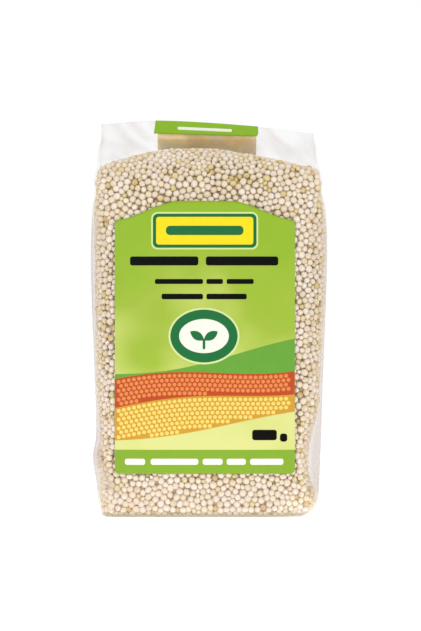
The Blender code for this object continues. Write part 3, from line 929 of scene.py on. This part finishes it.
def print_on(name, outlines, material, lift, to_surface):
    """A skin of ink: flat outlines, cut into small cells and laid on the label's surface."""
    bm = bmesh.new()
    for outline in outlines:
        bm.faces.new([bm.verts.new((x, 0, z)) for x, z in outline])
    xs = [v.co.x for v in bm.verts]
    zs = [v.co.z for v in bm.verts]
    for axis, low, high in ((Vector((1, 0, 0)), min(xs), max(xs)), (Vector((0, 0, 1)), min(zs), max(zs))):
        for k in range(1, int((high - low) / INK_CELL) + 1):
            place = axis * (low + INK_CELL * k)
            geometry = bm.verts[:] + bm.edges[:] + bm.faces[:]
            bmesh.ops.bisect_plane(bm, geom=geometry, dist=1e-5, plane_co=place, plane_no=axis)
    bmesh.ops.triangulate(bm, faces=bm.faces[:])
    bm.verts.index_update()
    points = [to_surface(vertex.co.x, vertex.co.z, lift) for vertex in bm.verts]
    faces = [[vertex.index for vertex in face.verts] for face in bm.faces]
    bm.free()
    new_piece(name, points, faces, [material])


def print_label(name, outlines, material, above=0.0):
    """Ink on the front label, `above` the ink that lies on the bare label."""
    print_on(name, outlines, material, INK_LIFT + above, label_point)


pale_green_ink = ink("label_ink_pale_green", "#BFCF8C")
deep_green_ink = ink("label_ink_deep_green", "#176233")
yellow_ink = ink("label_ink_yellow", "#DCC818")
black_ink = ink("label_ink_black", "#080906", 0.05)
white_ink = ink("label_ink_white", "#D6D8CC")
print_label("print_halos", [panel(-0.6, 2.2), disc(SEAL_X, SEAL_Z, SEAL_HALF_X + 0.7, SEAL_HALF_Z + 0.7, 56)],
            pale_green_ink, 0.02)
print_label("print_panel_frame", [panel(0, 1.7)], deep_green_ink, 0.04)
print_label("print_panel_field", [panel(1.1, 1.0)], yellow_ink, 0.06)
print_label("print_panel_bar", bars([(PANEL_LEFT + 4.5, PANEL_RIGHT - 4.5)], 97.9, 101.1, 1.4),
            deep_green_ink, 0.08)

wording = bars([(-27.1, -3.5), (-0.9, 24.1)], 87.4, 90.5, 0.8)
wording += bars([(-18.5, -1.9), (-0.7, 5.0), (6.3, 15.6)], 81.0, 82.7, 0.5)
wording += bars([(-16.2, -1.9), (-0.7, 13.2)], 75.7, 77.6, 0.6)
wording += [bar(15.1, 23.6, 27.0, 30.6, 0.9), bar(24.7, 27.2, 26.5, 29.3, 0.9)]
print_label("print_black_bars", wording, black_ink)
foot = [(-28.9, -21.9), (-20.0, -3.5), (-2.0, 4.9), (6.3, 12.9), (14.4, 25.9)]
print_label("print_white_bars", bars(foot, 18.5, 20.6, 0.8), white_ink)

print_label("print_seal_ring", [disc(SEAL_X, SEAL_Z, SEAL_HALF_X, SEAL_HALF_Z, 56)], deep_green_ink, 0.10)
print_label("print_seal_field", [disc(SEAL_X, SEAL_Z, 8.6, 5.9, 48)], white_ink, 0.13)
sprout = [leaf(SEAL_X, SEAL_Z - 1.4, 5.6, 2.9, degrees) for degrees in (32, 148)]
sprout += [bar(SEAL_X - 0.45, SEAL_X + 0.45, SEAL_Z - 4.6, SEAL_Z - 1.0, 0.4)]
print_label("print_seal_sprout", sprout, deep_green_ink, 0.16)

# Rolling fields: a green rise behind, a brick-orange slope, and a golden slope in front
FIELD_LEFT = FRONT_LABEL_X - FRONT_LABEL_HALF + 0.05
FIELD_WIDTH = 2 * FRONT_LABEL_HALF - 0.1
GREEN_TOP = (50.5, 60.0, -2.2, 0.1)
ORANGE_TOP = (46.5, 53.0, 2.2, 0.25)
GOLD_TOP = (37.5, 44.5, 1.8, 0.1)
GOLD_FOOT = (27.5, 35.5, -1.4, 0.15)
SEED_PITCH = 1.75
SEED_SIZE = 1.4


def crest(x, left, right, swell, phase):
    """Height of a field's top edge at x."""
    share = (x - FIELD_LEFT) / FIELD_WIDTH
    return left + (right - left) * share + swell * math.sin(math.pi * (1.3 * share + phase))


def field(top, bottom):
    """Outline between two crests."""
    across = [FIELD_LEFT + FIELD_WIDTH * k / 40 for k in range(41)]
    return [(x, crest(x, *bottom)) for x in across] + [(x, crest(x, *top)) for x in reversed(across)]


def seed_rows(top, bottom):
    """Rows of round seeds, a fixed pitch apart, that follow a field's top edge down to its foot."""
    found = []
    for row in range(40):
        for k in range(int(FIELD_WIDTH / SEED_PITCH) - 1):
            x = FIELD_LEFT + SEED_PITCH * (k + 0.75 + 0.5 * (row % 2))
            z = crest(x, *top) - SEED_PITCH * (0.7 + 0.87 * row)
            if z > crest(x, *bottom) + 0.6 * SEED_SIZE:
                found.append(disc(x, z, SEED_SIZE / 2, SEED_SIZE / 2, 10))
    return found


print_label("print_green_field", [field(GREEN_TOP, ORANGE_TOP)], ink("label_ink_grass_green", "#5C9233"))
print_label("print_orange_field", [field(ORANGE_TOP, GOLD_TOP)], ink("label_ink_brick_orange", "#A8421F"))
print_label("print_gold_field", [field(GOLD_TOP, GOLD_FOOT)], ink("label_ink_corn_gold", "#B98A2C"))
light_orange_ink = ink("label_ink_light_orange", "#CD7A42")
print_label("print_orange_seeds", seed_rows(ORANGE_TOP, GOLD_TOP), light_orange_ink, 0.03)
print_label("print_gold_seeds", seed_rows(GOLD_TOP, GOLD_FOOT), ink("label_ink_pale_gold", "#DBBE62"), 0.03)

# The closing label. The same printed film, stuck over the fin when the bag has been filled: a
# short green tab in front, and a long leg down the back. Its adhesive side shows tan through
# the clear roof.
CLOSING_LEFT = -18.5
CLOSING_RIGHT = 17.4
TAB_LEFT = 133.8
TAB_RIGHT = 132.8
TAB_SLANT = 0.6
TAB_CORNER = 1.1
CLOSING_BACK_END = 62.0
BACK_NARROWS = 0.035
CLOSING_COLUMNS = 36
TAB_ROWS = 8
BEND_STEPS = 8
BACK_ROWS = 80
CLOSING_LIFT = 0.12
CLOSING_THICK = 0.10


def closing_lift(x, z):
    """How far the closing label is lifted where it bridges the seam."""
    return seam_height(z) * (1 - ease(abs(x), SEAM_HALF_WIDTH + 1, 2 * SEAM_HALF_WIDTH))


def closing_path(x, away):
    """Points from the tab's lower edge, over the fin, and down the back panel at x."""
    share = (x - CLOSING_LEFT) / (CLOSING_RIGHT - CLOSING_LEFT)
    tab_end = TAB_LEFT + (TAB_RIGHT - TAB_LEFT) * share
    from_right = CLOSING_RIGHT - x
    if from_right < TAB_CORNER:
        tab_end += TAB_CORNER - math.sqrt(TAB_CORNER**2 - (TAB_CORNER - from_right) ** 2)
    fold = fold_height(x)
    points = []
    for k in range(TAB_ROWS):
        z = tab_end + (fold - tab_end) * k / TAB_ROWS
        slant = TAB_SLANT * (1 - share) ** 6 * (1 - k / TAB_ROWS)
        points.append(panel_point(x - slant, z, FRONT, away))
    half = shape_at(fold)[2]
    for k in range(BEND_STEPS + 1):
        turn = math.pi * k / BEND_STEPS
        points.append(Vector((x, -(half + away) * math.cos(turn), fold + away * math.sin(turn))))
    for k in range(1, BACK_ROWS + 1):
        z = fold + (CLOSING_BACK_END - fold) * k / BACK_ROWS
        back_x = x * (1 - BACK_NARROWS * ease(fold - z, 0, 4))
        points.append(panel_point(back_x, z, BACK, away + closing_lift(x, z)))
    return points


def closing_back(x, z, away):
    """Point on the closing label's back leg."""
    return panel_point(x, z, BACK, away + closing_lift(x, z))


def closing_front(x, z, away):
    return panel_point(x, z, FRONT, away)


tab_green = ink("closing_label_ink_green", "#7BA427")
# The adhesive side of the label's backing: tan, matt and slightly cloudy
tan, tree, surface = new_material("label_adhesive_side_tan")
coords = node(tree, "ShaderNodeTexCoord")
cloud = node(tree, "ShaderNodeTexNoise", {"Scale": 90.0, "Detail": 3.0},
             {"Vector": coords.outputs["Object"]})
cloudy = node(tree, "ShaderNodeMapRange", {"From Min": 0.35, "From Max": 0.65},
              {"Value": cloud.outputs["Fac"]})
tan_mix = node(tree, "ShaderNodeMix", {"data_type": "RGBA", "A": linear("#FFD973"), "B": linear("#FFF6D8")},
               {"Factor": cloudy})
shader = node(tree, "ShaderNodeBsdfPrincipled", {"Roughness": 0.7},
              {"Base Color": tan_mix.outputs["Result"]})
tree.links.new(shader.outputs[0], surface)
to_corner = np.linspace(CLOSING_LEFT, CLOSING_RIGHT - TAB_CORNER, CLOSING_COLUMNS)
round_corner = CLOSING_RIGHT - TAB_CORNER * (1 - np.sin(np.pi / 12 * np.arange(1, 7)))
across = np.concatenate([to_corner, round_corner])
inner = [point for x in across for point in closing_path(x, CLOSING_LIFT)]
outer_side = [point for x in across for point in closing_path(x, CLOSING_LIFT + CLOSING_THICK)]
path_length = len(inner) // len(across)
closing_label = new_piece("closing_label_sheet", inner + outer_side,
                          sheet_faces(len(across), path_length), [tab_green, tan])
inner_faces = (len(across) - 1) * (path_length - 1)
for face in closing_label.data.polygons[:inner_faces]:
    face.material_index = 1
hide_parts("closing_label")

# The print on the closing label: one white bar on the tab, and on the back leg a pale panel
# with bars where the wording would be.
TAB_INK = CLOSING_LIFT + CLOSING_THICK + 0.03
TAB_SLOPE = 0.045
tab_bar = [(x, z - TAB_SLOPE * x) for x, z in bar(-10.8, 8.2, 134.7, 135.7, 0.4)]
print_on("print_tab_bar", [tab_bar], white_ink, TAB_INK, closing_front)
print_on("print_back_panel", [bar(-15.6, 14.4, 66.0, 103.0, 1.6)], ink("label_ink_pale_lime", "#CCCF98"),
         TAB_INK, closing_back)
back_wording = [bar(-12.6, 11.4, 97.0, 99.6, 0.8)]
for k in range(9):
    back_wording.append(bar(-12.6, 11.4 - (4.5 if k % 3 == 2 else 0), 93.0 - 2.6 * k, 94.0 - 2.6 * k, 0.4))
print_on("print_back_bars", back_wording, black_ink, TAB_INK + 0.03, closing_back)

# The studio. A table of opal acrylic lit from below, as bright as the white room beyond it, so
# that both come out as one clean white, and two large soft lights in front of the bag.
FLOOR_HALF = 3.0
GLOW_RADIUS = 0.07
table, tree, surface = new_material("opal_acrylic_lit_from_below")
coords = node(tree, "ShaderNodeTexCoord")
from_bag = node(tree, "ShaderNodeVectorMath", {"operation": "LENGTH"}, {0: coords.outputs["Object"]})
glow = node(tree, "ShaderNodeMapRange",
            {"From Min": GLOW_RADIUS, "From Max": 2 * GLOW_RADIUS, "To Min": 1.85, "To Max": 1.08},
            {"Value": from_bag.outputs["Value"]})
shader = node(tree, "ShaderNodeEmission", {"Color": (1, 1, 1, 1)}, {"Strength": glow})
tree.links.new(shader.outputs[0], surface)
floor_mesh = bpy.data.meshes.new("light_table")
corners = [(x * FLOOR_HALF, y * FLOOR_HALF, 0) for x, y in ((-1, -1), (1, -1), (1, 1), (-1, 1))]
floor_mesh.from_pydata(corners, [], [(0, 1, 2, 3)])
floor_mesh.materials.append(table)
add_object("light_table", floor_mesh)

world = bpy.data.worlds.new("white_room")
bpy.context.scene.world = world
world.use_nodes = True
background = world.node_tree.nodes["Background"]
background.inputs["Color"].default_value = (1, 1, 1, 1)
background.inputs["Strength"].default_value = 1.0

SOFTBOX_SIZE = 0.8
SOFTBOX_AIM = Vector((0, 0, 0.05))
for name, place, power in (("softbox_left", (-0.65, -1.35, 0.45), 5.6),
                           ("softbox_right", (0.8, -1.2, 0.35), 3.9)):
    light = bpy.data.lights.new(name, "AREA")
    light.shape = "SQUARE"
    light.size = SOFTBOX_SIZE
    light.energy = power
    lamp = add_object(name, light)
    lamp.location = place
    lamp.rotation_euler = (SOFTBOX_AIM - Vector(place)).to_track_quat("-Z", "Y").to_euler()

# The camera stands 1.5 m in front of the bag, level, at half its height. Its view is set by the
# photograph's frame: 421 by 631 pixels, at 2.855 pixels per millimetre at the bag's middle.
CAMERA_DISTANCE = 1.5
CAMERA_HEIGHT = 0.0701
CAMERA_X = 0.0007
PHOTO_HEIGHT = 631
PIXELS_PER_MM = 2.855
camera_data = bpy.data.cameras.new("camera")
camera_data.sensor_fit = "VERTICAL"
camera_data.sensor_height = 24.0
camera_data.lens = camera_data.sensor_height * CAMERA_DISTANCE / (PHOTO_HEIGHT / PIXELS_PER_MM * MM)
camera = add_object("camera", camera_data)
camera.location = (CAMERA_X, -CAMERA_DISTANCE, CAMERA_HEIGHT)
camera.rotation_euler = (math.radians(90), 0, 0)
bpy.context.scene.camera = camera
bpy.context.scene.view_settings.view_transform = "Standard"
